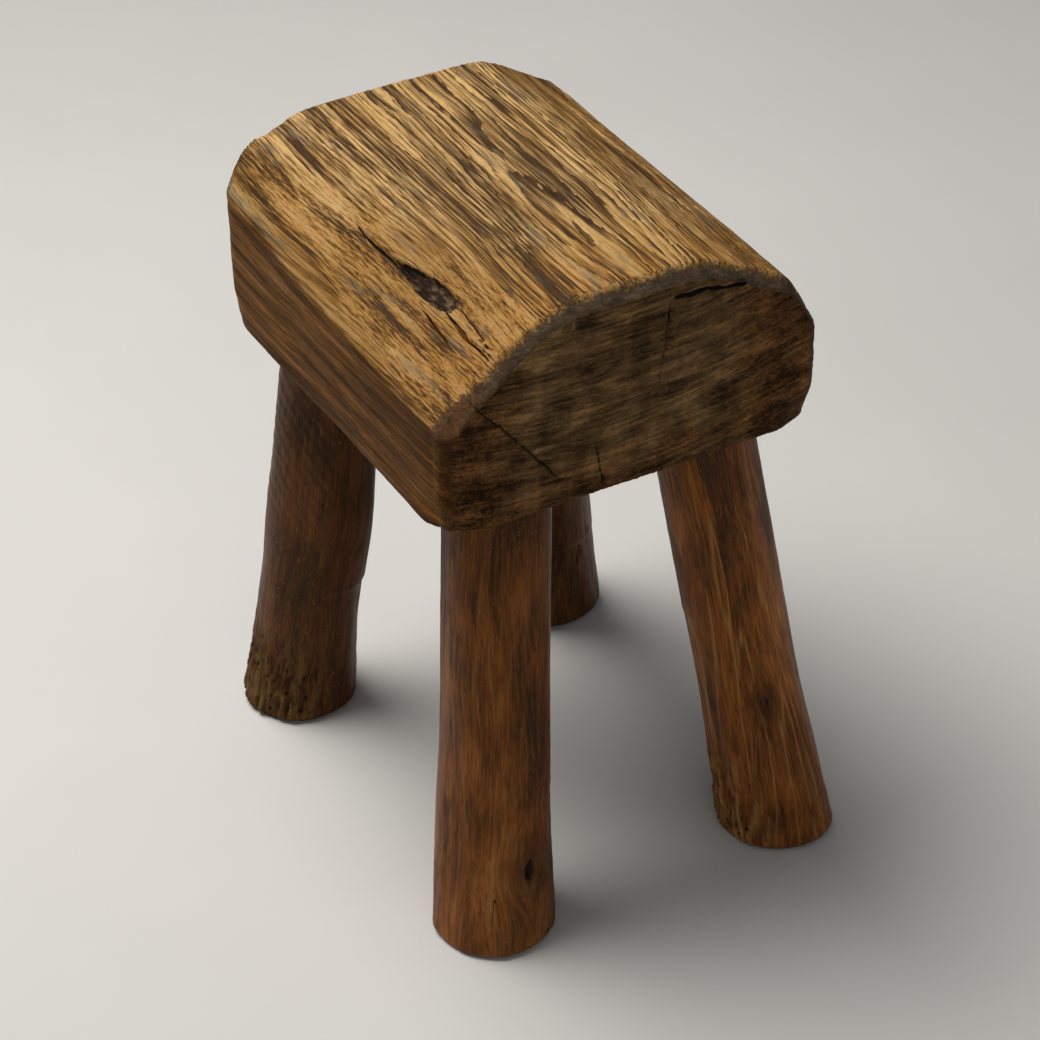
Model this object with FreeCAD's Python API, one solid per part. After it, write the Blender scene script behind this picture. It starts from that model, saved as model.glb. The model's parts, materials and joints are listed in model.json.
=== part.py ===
"""Milking stool: a hewn block seat on four splayed, club-footed legs.

Each leg ends in a round tenon that widens a little towards its tip. The tenon stands in a blind
socket in the underside of the block. A fox wedge, driven into the tenon by the floor of the
socket, keeps the tip spread, so that the leg can't draw out. The wedge lies across the grain of
the block, so that it presses along the grain and never splits it.

Frame: millimetres, +Z up, the grain of the block along X, the floor at Z = 0, and the origin at
the bottom centre of the whole stool. Right is +X, left is -X, front is -Y and back is +Y.
"""
import FreeCAD, Part
import math
import os

from FreeCAD import Placement, Rotation, Vector

# Driving dimensions: the block.
STOOL_HEIGHT = 375.0
SEAT_LENGTH = 250.0
SEAT_WIDTH = 217.0
SEAT_THICKNESS = 115.5

# The hewn outline at each end of the block, for its front and its back side. The flat crown stops
# "crown" in from the side. From there the upper shoulder falls to the knee, given as (in from the
# side, down from the top), and the lower shoulder runs out in the side "crease" below the top.
OUTLINES = {
    ("right", "front"): {"crown": 69.0, "knee": (37.0, 20.0), "crease": 53.0},
    ("right", "back"): {"crown": 67.0, "knee": (16.0, 27.0), "crease": 58.0},
    ("left", "front"): {"crown": 44.0, "knee": (13.0, 11.0), "crease": 36.0},
    ("left", "back"): {"crown": 60.0, "knee": (16.0, 27.0), "crease": 56.0},
}
CROWN_EDGE_RADIUS = 45.0
KNEE_RADIUS = 25.0
CREASE_RADIUS = 9.0
END_BEVEL = 7.5             # worn on the upper edge of both ends
CORNER_RADIUS = 9.0         # the upright corners
UNDERSIDE_RADIUS = 5.0      # the lower edge, all round

# Driving dimensions: the legs. The axis of a leg meets the underside this far in from the end and
# from the side of the block. Heights are measured up from the floor.
LEG_FROM_END = 36.0
LEG_FROM_SIDE = 49.0
SWELL_HEIGHT = 118.0        # below this the leg swells to its foot
FOOT_EDGE_RADIUS = 5.0

# Each leg was shaved and its socket bored by eye: how many degrees it leans outwards along X and
# along Y, the radius of its straight part, and that of its foot.
LEGS = {
    ("right", "front"): {"lean": (6.3, 5.4), "radius": 28.2, "foot": 33.2},
    ("right", "back"): {"lean": (7.0, 7.3), "radius": 26.6, "foot": 32.6},
    ("left", "front"): {"lean": (5.6, 5.7), "radius": 27.8, "foot": 32.6},
    ("left", "back"): {"lean": (6.7, 5.2), "radius": 27.4, "foot": 32.4},
}

# Driving dimensions: the fox-wedged joint. Lengths are along the axis of the leg.
TENON_RADIUS = 20.0         # at the mouth of the socket
TENON_SPREAD = 1.2          # how much wider the tenon is at its tip
TENON_LENGTH = 60.0
SOCKET_CLEARANCE = 0.05     # all round the tenon
WEDGE_LENGTH = 41.0
WEDGE_BUTT = 6.0            # its thickness on the floor of the socket
WEDGE_TIP = 1.5             # its thickness at its thin end
WEDGE_STANDS_OUT = 1.5      # from the tip of the tenon to the floor of the socket
WEDGE_SIDE_INSET = 2.0      # in from each side of the tenon
KERF_BELOW_WEDGE = 2.5      # how much deeper the kerf is than the wedge goes

TOWARDS = {"right": 1, "left": -1, "back": 1, "front": -1}
UNDERSIDE_Z = STOOL_HEIGHT - SEAT_THICKNESS
SOCKET_DEPTH = TENON_LENGTH + WEDGE_STANDS_OUT
SPREAD_PER_MM = TENON_SPREAD / TENON_LENGTH
BEYOND = STOOL_HEIGHT + SEAT_LENGTH + SEAT_WIDTH    # reaches past everything here
NEAR = 1e-3                 # within this, two places are the same


def rounded_wire(corners, radii):
    """A closed wire through the corners, each rounded by the radius of the same number or sharp."""
    pieces = []
    for corner, radius, before, after in zip(
            corners, radii, corners[-1:] + corners[:-1], corners[1:] + corners[:1]):
        back = (before - corner).normalize()
        on = (after - corner).normalize()
        half_angle = back.getAngle(on) / 2
        reach = radius / math.tan(half_angle)
        inwards = (back + on).normalize()
        deepest = corner + inwards * (radius / math.sin(half_angle) - radius)
        pieces.append((corner + back * reach, deepest, corner + on * reach))

    edges = []
    for piece, following in zip(pieces, pieces[1:] + pieces[:1]):
        start, middle, stop = piece
        if start.distanceToPoint(stop) > NEAR:
            edges.append(Part.Arc(start, middle, stop).toShape())
        edges.append(Part.makeLine(stop, following[0]))
    return Part.Wire(edges)


def cross_section(end, inwards, lowered):
    """The outline of the block near one end, so far inwards from it and its top lowered so far."""
    x = TOWARDS[end] * (SEAT_LENGTH / 2 - inwards)
    corners = []
    radii = []
    for side in ("front", "back"):
        outline = OUTLINES[end, side]
        run = [(0.0, SEAT_THICKNESS, 0.0), (0.0, outline["crease"] + lowered, CREASE_RADIUS)]
        inset, drop = outline["knee"]
        run.append((inset, drop + lowered, KNEE_RADIUS))
        run.append((outline["crown"], lowered, CROWN_EDGE_RADIUS))
        if side == "back":
            run.reverse()
        for inset, drop, radius in run:
            y = TOWARDS[side] * (SEAT_WIDTH / 2 - inset)
            corners.append(Vector(x, y, STOOL_HEIGHT - drop))
            radii.append(radius)
    return rounded_wire(corners, radii)


def solid_block():
    """The block without its sockets."""
    sections = [
        cross_section("right", 0.0, END_BEVEL),
        cross_section("right", END_BEVEL, 0.0),
        cross_section("left", END_BEVEL, 0.0),
        cross_section("left", 0.0, END_BEVEL),
    ]
    block = Part.makeLoft(sections, True, True)
    plan = Part.makeBox(
        SEAT_LENGTH, SEAT_WIDTH, BEYOND, Vector(-SEAT_LENGTH / 2, -SEAT_WIDTH / 2, 0))
    upright = [edge for edge in plan.Edges if edge.BoundBox.ZLength > BEYOND / 2]
    block = block.common(plan.makeFillet(CORNER_RADIUS, upright))
    lowest = [edge for edge in block.Edges if edge.BoundBox.ZMax < UNDERSIDE_Z + NEAR]
    return block.makeFillet(UNDERSIDE_RADIUS, lowest)


def on_axis(solid, end, side):
    """Carries a solid built round +Z to the axis of a leg, with its origin in the underside.

    Its X stays as near to the grain of the block as the lean allows.
    """
    lean_x, lean_y = (math.tan(math.radians(lean)) for lean in LEGS[end, side]["lean"])
    upwards = Vector(-TOWARDS[end] * lean_x, -TOWARDS[side] * lean_y, 1)
    mouth = Vector(
        TOWARDS[end] * (SEAT_LENGTH / 2 - LEG_FROM_END),
        TOWARDS[side] * (SEAT_WIDTH / 2 - LEG_FROM_SIDE),
        UNDERSIDE_Z,
    )
    turned = Rotation(Vector(1, 0, 0), Vector(), upwards, "ZXY")
    return solid.transformed(Placement(mouth, turned).toMatrix())


def turned_solid(points):
    """The solid of revolution round Z of a closed outline of (radius, height) points."""
    corners = [Vector(radius, 0, height) for radius, height in points]
    outline = Part.makePolygon(corners + corners[:1])
    return Part.Face(outline).revolve(Vector(), Vector(0, 0, 1), 360)


def socket(end, side):
    """What is bored out of the block for one leg."""
    mouth = TENON_RADIUS + SOCKET_CLEARANCE
    below = -TENON_RADIUS       # clear of the underside, however the leg leans
    bore = turned_solid([
        (0, below),
        (mouth + below * SPREAD_PER_MM, below),
        (mouth + SOCKET_DEPTH * SPREAD_PER_MM, SOCKET_DEPTH),
        (0, SOCKET_DEPTH),
    ])
    return on_axis(bore, end, side)


def wedge_solid(extra_length, width):
    """A fox wedge about the axis of its leg, its butt on the floor of the socket.

    extra_length carries the same two tapering faces further down.
    """
    taper = (WEDGE_BUTT - WEDGE_TIP) / WEDGE_LENGTH
    length = WEDGE_LENGTH + extra_length
    butt = WEDGE_BUTT / 2
    tip = (WEDGE_BUTT - taper * length) / 2
    corners = [
        Vector(-butt, -width / 2, SOCKET_DEPTH),
        Vector(butt, -width / 2, SOCKET_DEPTH),
        Vector(tip, -width / 2, SOCKET_DEPTH - length),
        Vector(-tip, -width / 2, SOCKET_DEPTH - length),
    ]
    section = Part.Face(Part.makePolygon(corners + corners[:1]))
    return section.extrude(Vector(0, width, 0))


def fox_wedge(end, side):
    return on_axis(wedge_solid(0.0, 2 * (TENON_RADIUS - WEDGE_SIDE_INSET)), end, side)


def leg(end, side):
    """One leg: its swelling shaft, scribed to the underside, and its slotted tenon."""
    lean_x, lean_y = (math.tan(math.radians(lean)) for lean in LEGS[end, side]["lean"])
    radius = LEGS[end, side]["radius"]
    foot_radius = LEGS[end, side]["foot"]
    per_height = math.sqrt(1 + lean_x ** 2 + lean_y ** 2)   # length along the axis
    floor = -UNDERSIDE_Z * per_height
    swell = -(UNDERSIDE_Z - SWELL_HEIGHT) * per_height

    # The swell is an arc that leaves the straight shaft tangent to it.
    rise = foot_radius - radius
    arc_radius = ((swell - floor) ** 2 + rise ** 2) / (2 * rise)
    below = floor - foot_radius

    def swollen(height):
        return radius + arc_radius - math.sqrt(arc_radius ** 2 - (swell - height) ** 2)

    above = radius
    outline = Part.Wire([
        Part.makeLine(Vector(0, 0, below), Vector(swollen(below), 0, below)),
        Part.Arc(
            Vector(swollen(below), 0, below),
            Vector(swollen(floor), 0, floor),
            Vector(radius, 0, swell),
        ).toShape(),
        Part.makeLine(Vector(radius, 0, swell), Vector(radius, 0, above)),
        Part.makeLine(Vector(radius, 0, above), Vector(0, 0, above)),
        Part.makeLine(Vector(0, 0, above), Vector(0, 0, below)),
    ])
    shaft = on_axis(Part.Face(outline).revolve(Vector(), Vector(0, 0, 1), 360), end, side)
    storey = Part.makeBox(
        BEYOND, BEYOND, UNDERSIDE_Z, Vector(-BEYOND / 2, -BEYOND / 2, 0))
    shaft = shaft.common(storey)
    rim = [edge for edge in shaft.Edges if edge.BoundBox.ZMax < NEAR]
    shaft = shaft.makeFillet(FOOT_EDGE_RADIUS, rim)

    root = -radius
    tenon = turned_solid([
        (0, root),
        (TENON_RADIUS + root * SPREAD_PER_MM, root),
        (TENON_RADIUS + TENON_SPREAD, TENON_LENGTH),
        (0, TENON_LENGTH),
    ])
    kerf = wedge_solid(KERF_BELOW_WEDGE, 2 * radius)
    return shaft.fuse(on_axis(tenon, end, side)).cut(on_axis(kerf, end, side))


nodes = {"seat_block": solid_block()}
for end, side in LEGS:
    nodes["seat_block"] = nodes["seat_block"].cut(socket(end, side))
    nodes[f"leg_{side}_{end}"] = leg(end, side)
    nodes[f"fox_wedge_{side}_{end}"] = fox_wedge(end, side)

# The legs lean by different angles, so the feet aren't centred on the block. The origin is.
extent = Part.makeCompound(list(nodes.values())).optimalBoundingBox(False)
to_origin = Vector(-extent.Center.x, -extent.Center.y, 0)

os.makedirs("parts", exist_ok=True)
for name, shape in nodes.items():
    placed = shape.translated(to_origin)
    placed.exportStep(f"parts/{name}.step")
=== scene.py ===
"""A hewn milking stool: weathered block seat, shaved legs and fox wedges over their frame.

Places are in millimetres inside the wood patterns and in metres everywhere else. +Z is up, the
grain of the block runs along X, right is +X and back is +Y.
"""
import json
import math

import bmesh
import bpy
from bpy.props import FloatProperty, FloatVectorProperty, IntProperty, PointerProperty
from mathutils import Matrix, Vector
from mathutils.bvhtree import BVHTree


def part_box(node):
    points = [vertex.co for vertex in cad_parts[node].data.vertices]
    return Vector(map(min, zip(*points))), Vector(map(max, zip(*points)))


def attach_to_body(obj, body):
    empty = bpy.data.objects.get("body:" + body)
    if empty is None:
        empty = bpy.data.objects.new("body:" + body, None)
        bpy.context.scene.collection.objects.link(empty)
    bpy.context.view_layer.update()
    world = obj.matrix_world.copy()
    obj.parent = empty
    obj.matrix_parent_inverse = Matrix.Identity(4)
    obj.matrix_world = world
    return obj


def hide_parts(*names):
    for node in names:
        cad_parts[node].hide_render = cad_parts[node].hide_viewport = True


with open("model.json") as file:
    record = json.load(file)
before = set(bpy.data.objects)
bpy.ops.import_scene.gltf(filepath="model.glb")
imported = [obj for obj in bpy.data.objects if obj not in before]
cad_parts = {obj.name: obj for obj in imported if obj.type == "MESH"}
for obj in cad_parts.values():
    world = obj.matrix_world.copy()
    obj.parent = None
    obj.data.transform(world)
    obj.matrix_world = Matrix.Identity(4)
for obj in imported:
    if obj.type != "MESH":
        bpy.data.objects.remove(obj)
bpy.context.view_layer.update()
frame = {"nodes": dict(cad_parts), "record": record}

bl_info = {
    "name": "Hewn Milking Stool",
    "version": (1, 0, 0),
    "blender": (4, 5, 0),
    "location": "3D View > Sidebar > Stool",
    "description": "Builds a weathered block-seat stool on four shaved legs",
    "category": "Add Mesh",
}

MM = 0.001
MERGED = 1e-6  # points that are closer than this, in metres, are one
LEG_PLACES = ("front_right", "front_left", "back_right", "back_left")


# ---------------- node expressions

def shaded(colour, share):
    """A colour made darker, or lighter, by a share."""
    return tuple(share * part for part in colour)


class Field:
    """A socket of a node tree that can be used in a Python expression."""

    def __init__(self, tree, socket=None):
        self.tree = tree
        self.socket = socket

    def node(self, kind, settings=None, inputs=None, output=0):
        """Adds a node: first its settings, then the values or links of its sockets."""
        added = self.tree.nodes.new(kind)
        for name, value in (settings or {}).items():
            setattr(added, name, value)
        for key, value in (inputs or {}).items():
            if isinstance(value, Field):
                self.tree.links.new(value.socket, added.inputs[key])
            else:
                added.inputs[key].default_value = value
        return Field(self.tree, added.outputs[output])

    def math(self, operation, *values):
        return self.node("ShaderNodeMath", {"operation": operation}, dict(enumerate(values)))

    def vector(self, operation, *values):
        output = "Value" if operation in ("DOT_PRODUCT", "LENGTH") else "Vector"
        return self.node("ShaderNodeVectorMath", {"operation": operation},
                         dict(enumerate(values)), output)

    def __add__(self, other):
        return self.math("ADD", self, other)

    def __sub__(self, other):
        return self.math("SUBTRACT", self, other)

    def __mul__(self, other):
        return self.math("MULTIPLY", self, other)

    def __truediv__(self, other):
        return self.math("DIVIDE", self, other)

    def __pow__(self, other):
        return self.math("POWER", self, other)

    def __rsub__(self, other):
        return self.math("SUBTRACT", other, self)

    __radd__ = __add__
    __rmul__ = __mul__

    def __neg__(self):
        return self * -1.0

    def __abs__(self):
        return self.math("ABSOLUTE", self)

    def at_least(self, low):
        return self.math("MAXIMUM", self, low)

    def at_most(self, high):
        return self.math("MINIMUM", self, high)

    def clipped(self):
        """Kept between 0 and 1."""
        return self.at_least(0.0).at_most(1.0)

    def step(self, low, high):
        """0 below low and 1 above high, smoothly; low may be the larger of the two."""
        return self.node("ShaderNodeMapRange", {"interpolation_type": "SMOOTHSTEP"},
                         {"Value": self, "From Min": low, "From Max": high})

    def part(self, axis):
        return self.node("ShaderNodeSeparateXYZ", None, {0: self}, "XYZ".index(axis))

    def joined(self, x, y, z):
        return self.node("ShaderNodeCombineXYZ", None, {0: x, 1: y, 2: z})

    def thrice(self):
        """A vector with this value along each axis."""
        return self.joined(self, self, self)

    # What these give for vectors: a product by part, a difference, a dot product, a length.
    def times(self, factors):
        return self.vector("MULTIPLY", self, factors)

    def minus(self, other):
        return self.vector("SUBTRACT", self, other)

    def along(self, direction):
        return self.vector("DOT_PRODUCT", self, direction)

    def size(self):
        return self.vector("LENGTH", self)

    def stored(self, name):
        """A vector that the relief left on the surface."""
        return self.node("ShaderNodeAttribute", {"attribute_name": name}, None, "Vector")

    def ramp(self, *stops, shade=1.0):
        """Colours by this value; a stop is where it stands, its colour and how bright it is. shade
        scales every stop, which gives the legs their painted shade and painted light.
        """
        added = self.node("ShaderNodeValToRGB", None, {0: self})
        elements = added.socket.node.color_ramp.elements
        while len(elements) < len(stops):
            elements.new(1.0)
        for element, (position, colour, share) in zip(elements, stops):
            element.position = position
            element.color = (*shaded(colour, shade * share), 1.0)
        return added

    def blend(self, low, high):
        """Between two colours: low where this is 0, high where it is 1."""
        low, high = (value if isinstance(value, Field) else (*value, 1.0) for value in (low, high))
        return self.node("ShaderNodeMix", {"data_type": "RGBA"}, {0: self, 6: low, 7: high}, 2)

    def noise(self, lengths, seed, detail=2.0, rough=0.5, output=0):
        """Noise from 0 to 1, whose grains are about so many mm long along X, Y and Z."""
        scaled = self.times([1.0 / length for length in lengths])
        return self.node("ShaderNodeTexNoise", {"noise_dimensions": "4D"},
                         {"Vector": scaled, "W": seed, "Scale": 1.0, "Detail": detail,
                          "Roughness": rough}, output)

    def bump(self, distance, strength):
        """A normal tilted as if this stood out by up to a distance in mm."""
        return self.node("ShaderNodeBump", None,
                         {"Height": self, "Distance": distance * MM, "Strength": strength})

    def wander(self, lengths, amounts, seed):
        """This place, moved to and fro by up to about half the amounts."""
        tossed = self.noise(lengths, seed, 1.0, 0.5, "Color")
        return self.vector("ADD", self, tossed.minus((0.5, 0.5, 0.5)).times(amounts))

    def near_line(self, start, stop, width, seen):
        """1 on the line from start to stop and 0 off it; the line thins out to both ends.

        seen says which coordinates count, such as (0, 1, 1) for a line seen along X.
        """
        start = Vector([a * b for a, b in zip(start, seen)])
        run = Vector([a * b for a, b in zip(stop, seen)]) - start
        away = self.times(seen).minus(tuple(start))
        share = away.along(tuple(run / run.length_squared)).clipped()
        gap = away.minus(share.thrice().times(tuple(run))).size()
        half = width * (0.35 + 2.6 * share * (1.0 - share))
        return (gap / half).step(1.0, 0.3)


# ---------------- settings

def length(name, description, millimetres):
    return FloatProperty(name=name, description=description, default=millimetres * MM,
                         min=0.0, unit="LENGTH", precision=5)


def colour(name, description, default):
    return FloatVectorProperty(name=name, description=description, default=default,
                               size=3, min=0.0, max=1.0, subtype="COLOR")


class StoolBlock(bpy.types.PropertyGroup):
    """The block seat's mesh and how far the weather has worn it."""

    cells_along: IntProperty(name="Cells along", description="Mesh cells along the grain",
                             default=84, min=10)
    cells_across: IntProperty(name="Cells across", description="Mesh cells across the grain",
                              default=296, min=10)
    cells_down: IntProperty(name="Cells down", description="Mesh cells from top to underside",
                            default=58, min=10)
    ridge_pitch: length("Ridge pitch", "From one raised ridge of grain to the next", 3.1)
    ridge_depth: length("Ridge depth", "How deep the soft grain is worn on the crown", 0.9)
    hewing: length("Hewing", "How far the hewn faces stray from flat", 2.2)
    knot_depth: length("Knot depth", "How deep the rotten knot is", 5.0)
    check_depth: length("Check depth", "How deep the drying cracks are", 2.4)
    seed: FloatProperty(name="Seed", description="Which piece of wood this is", default=3.0)


class StoolLegs(bpy.types.PropertyGroup):
    """The legs' shape, which follows their frame, and their worn surface."""

    sides: IntProperty(name="Sides", description="Mesh cells round a leg", default=180, min=12)
    rings: IntProperty(name="Rings", description="Mesh cells from the sole to the seat",
                       default=250, min=12)
    foot_edge: length("Foot edge", "Radius worn on the rim of the sole", 5.0)
    swell_height: length("Swell height", "Below this height a leg swells to its foot", 118.0)
    shaving: length("Shaving", "How far the shaved flats stray from round", 1.5)
    seed: FloatProperty(name="Seed", description="Which pieces of wood these are", default=11.0)


class StoolColours(bpy.types.PropertyGroup):
    """The colours of the woods."""

    ridge: colour("Ridge", "Pale raised grain", (0.48, 0.300, 0.118))
    honey: colour("Honey", "Ordinary top face of the seat's wood", (0.310, 0.158, 0.040))
    amber: colour("Amber", "Rubbed wood near the right end and the knot", (0.390, 0.185, 0.047))
    groove: colour("Groove", "Dirt in the worn grain", (0.052, 0.028, 0.014))
    weathered: colour("Weathered", "Grey, dry wood on the crown", (0.240, 0.142, 0.058))
    stain: colour("Stain", "Blue-grey water stain", (0.12, 0.108, 0.080))
    # side is darker than the wood of the top: it paints the shade of the upright faces.
    side: colour("Side", "Upright long faces", (0.120, 0.048, 0.0085))
    end_olive: colour("End olive", "Middle of the end grain", (0.134, 0.076, 0.031))
    end_red: colour("End red", "Outer part of the end grain", (0.104, 0.045, 0.0145))
    bevel: colour("Bevel", "Rubbed, dirty bevel of the end grain", (0.072, 0.052, 0.036))
    crack: colour("Crack", "Inside of cracks and of the rotten knot", (0.010, 0.007, 0.006))
    leg_light: colour("Leg light", "Light streaks of a leg", (0.30, 0.135, 0.038))
    leg_main: colour("Leg main", "Ordinary colour of a leg", (0.150, 0.048, 0.0100))
    leg_dark: colour("Leg dark", "Dark, handled parts of a leg", (0.036, 0.014, 0.0055))
    ochre: colour("Ochre", "Gnarled, dry wood of a foot", (0.21, 0.115, 0.038))
    wedge: colour("Wedge", "Clean riven wood of the fox wedges", (0.40, 0.24, 0.11))


class StoolStage(bpy.types.PropertyGroup):
    """The floor, the lights and the camera."""

    azimuth: FloatProperty(name="Azimuth", description="Which way the camera stands",
                           default=math.radians(61.41), subtype="ANGLE")
    elevation: FloatProperty(name="Elevation", description="How far the camera looks down",
                             default=math.radians(35.42), subtype="ANGLE")
    roll: FloatProperty(name="Roll", description="How far the camera is tipped sideways",
                        default=math.radians(-1.2), subtype="ANGLE")
    distance: length("Distance", "From the camera to the middle of the view", 1914.0)
    aim: FloatVectorProperty(name="Aim", description="The middle of the view",
                             default=(-0.001, -0.002, 0.1594), subtype="TRANSLATION")
    lens: FloatProperty(name="Focal length", description="In mm on a 36 mm wide sensor",
                        default=121.95, min=1.0)
    floor: colour("Floor", "Pale studio floor", (0.62, 0.61, 0.59))
    key: FloatProperty(name="Key light", description="Power of the large light overhead",
                       default=40.0, min=0.0, unit="POWER")
    fill: FloatProperty(name="Fill light", description="Power of the light from the camera side",
                        default=3.0, min=0.0, unit="POWER")
    surround: FloatProperty(name="Surround", description="Strength of the even light all round",
                            default=0.16, min=0.0)


# ---------------- shared tools

def cad_copy(node):
    """A merged copy of a CAD node's mesh, as a bmesh in metres."""
    shape = bmesh.new()
    shape.from_mesh(frame["nodes"][node].data)
    bmesh.ops.remove_doubles(shape, verts=shape.verts, dist=MERGED)
    return shape


def object_from(shape, name):
    """Makes an object of a bmesh, and frees the bmesh."""
    mesh = bpy.data.meshes.new(name)
    shape.to_mesh(mesh)
    shape.free()
    piece = bpy.data.objects.new(name, mesh)
    bpy.context.scene.collection.objects.link(piece)
    return piece


def apply_modifiers(piece):
    """Replaces a piece's mesh with what its modifiers make of it, and removes them."""
    bpy.context.view_layer.update()
    evaluated = piece.evaluated_get(bpy.context.evaluated_depsgraph_get())
    mesh = bpy.data.meshes.new_from_object(evaluated, preserve_all_data_layers=True,
                                           depsgraph=bpy.context.evaluated_depsgraph_get())
    piece.modifiers.clear()
    piece.data = mesh
    mesh.name = piece.name


class Marks(dict):
    """Patterns by name; marks.ridge is the pattern called ridge."""

    __getattr__ = dict.__getitem__
    __setattr__ = dict.__setitem__


class Grower:
    """A Geometry Nodes tree under way: its named inputs, and the geometry so far."""

    def __init__(self, name, inputs):
        self.tree = bpy.data.node_groups.new(name, "GeometryNodeTree")
        for way in ("OUTPUT", "INPUT"):
            self.tree.interface.new_socket("Geometry", in_out=way,
                                           socket_type="NodeSocketGeometry")
        self.identifiers = {}
        for label, value in inputs.items():
            kind = ("Material" if isinstance(value, bpy.types.Material)
                    else {int: "Int", float: "Float"}.get(type(value), "Vector"))
            socket = self.tree.interface.new_socket(label, in_out="INPUT",
                                                    socket_type="NodeSocket" + kind)
            self.identifiers[label] = socket.identifier
        self.values = inputs
        self.field = Field(self.tree)
        self.entry = self.tree.nodes.new("NodeGroupInput")
        self.geometry = self.given("Geometry")

    def given(self, label):
        return Field(self.tree, self.entry.outputs[label])

    def then(self, kind, settings=None, inputs=None, output=0):
        """Passes the geometry through one more node."""
        inputs = {0: self.geometry, **(inputs or {})}
        self.geometry = self.field.node(kind, settings, inputs, output)

    def keep(self, name, value):
        """Stores a vector on every point, for the materials to read."""
        self.then("GeometryNodeStoreNamedAttribute",
                  {"data_type": "FLOAT_VECTOR", "domain": "POINT"}, {"Name": name, "Value": value})

    def grow(self, piece):
        """Ends the tree, runs it on a piece and leaves the piece a plain, smooth mesh."""
        self.then("GeometryNodeSetShadeSmooth")
        self.then("GeometryNodeRealizeInstances")
        self.then("GeometryNodeSetMaterial", None, {"Material": self.given("Material")})
        leave = self.tree.nodes.new("NodeGroupOutput")
        self.tree.links.new(self.geometry.socket, leave.inputs[0])
        modifier = piece.modifiers.new(self.tree.name, "NODES")
        modifier.node_group = self.tree
        for label, value in self.values.items():
            modifier[self.identifiers[label]] = value
        apply_modifiers(piece)


def new_material(name):
    """A material, its shader node and a Field to build its tree with."""
    material = bpy.data.materials.new(name)
    material.use_nodes = True
    shader = material.node_tree.nodes["Principled BSDF"]
    return material, shader, Field(material.node_tree)


def attach(shader, **fields):
    """Links fields to a shader's sockets, whose names are given with underscores."""
    for name, value in fields.items():
        tree = shader.id_data
        tree.links.new(value.socket, shader.inputs[name.replace("_", " ")])


# ---------------- the block

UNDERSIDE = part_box("seat_block")[0][2]
BLOCK_LOW, BLOCK_HIGH = (Vector(corner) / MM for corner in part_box("seat_block"))
BLOCK_MIDDLE = (BLOCK_LOW + BLOCK_HIGH) / 2
BLOCK_HALF = (BLOCK_HIGH - BLOCK_LOW) / 2


def on_block(x, y, down):
    """A place in mm, from the middle of the block and down from its crown."""
    return (BLOCK_MIDDLE.x + x, BLOCK_MIDDLE.y + y, BLOCK_HIGH.z - down)


KNOT = on_block(50, -75, 18)
CORNER_REACH = 26.0  # how far from a lower corner it is knocked round, in mm

# The checks: start, stop and half width in mm, and along which way each is seen.
SEEN_DOWN = (1.0, 1.0, 0.0)
SEEN_ENDWISE = (0.0, 1.0, 1.0)
TOP_CRACKS = (
    (on_block(-14, -80.5, 18), on_block(26, -79, 18), 0.8),
    (on_block(66, -76.5, 18), on_block(113, -76.5, 19), 0.7),
    (on_block(73, -71.5, 18), on_block(104, -72, 18), 0.6),
    (on_block(60, -82, 18), on_block(92, -84, 18), 0.5),
    (on_block(-70, -34, 3), on_block(-22, -33, 3), 0.5),
)
RIGHT_CHECKS = (
    (on_block(124, -93, 36), on_block(124, -66, 69), 0.6),
    (on_block(124, -68, 66), on_block(124, -43, 99), 0.6),
    (on_block(124, 20, 15), on_block(124, 18, 37), 0.7),
    (on_block(124, 18, 35), on_block(124, 13, 60), 0.5),
    (on_block(124, -22, 84), on_block(124, -19, 108), 0.5),
    (on_block(124, 22, 14.5), on_block(124, 45, 15.5), 2.3),
    (on_block(124, 38, 15), on_block(124, 64, 19.0), 1.9),
)
LEFT_CHECKS = (
    (on_block(-124, -84, 22), on_block(-124, -47, 72), 1.0),
    (on_block(-124, -12, 14), on_block(-124, -8, 58), 0.8),
    (on_block(-124, 66, 22), on_block(-124, 34, 80), 0.9),
    (on_block(-124, 90, 60), on_block(-124, 52, 74), 0.7),
)
PALE_CHIP = (on_block(124, -35, 7), on_block(124, -35, 25), 1.6)  # splintered, not cracked


def strongest(lines, seen, place):
    """The largest value that any of the lines has at a place."""
    found = None
    for start, stop, width in lines:
        line = place.near_line(start, stop, width, seen)
        found = line if found is None else found.at_least(line)
    return found


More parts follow.
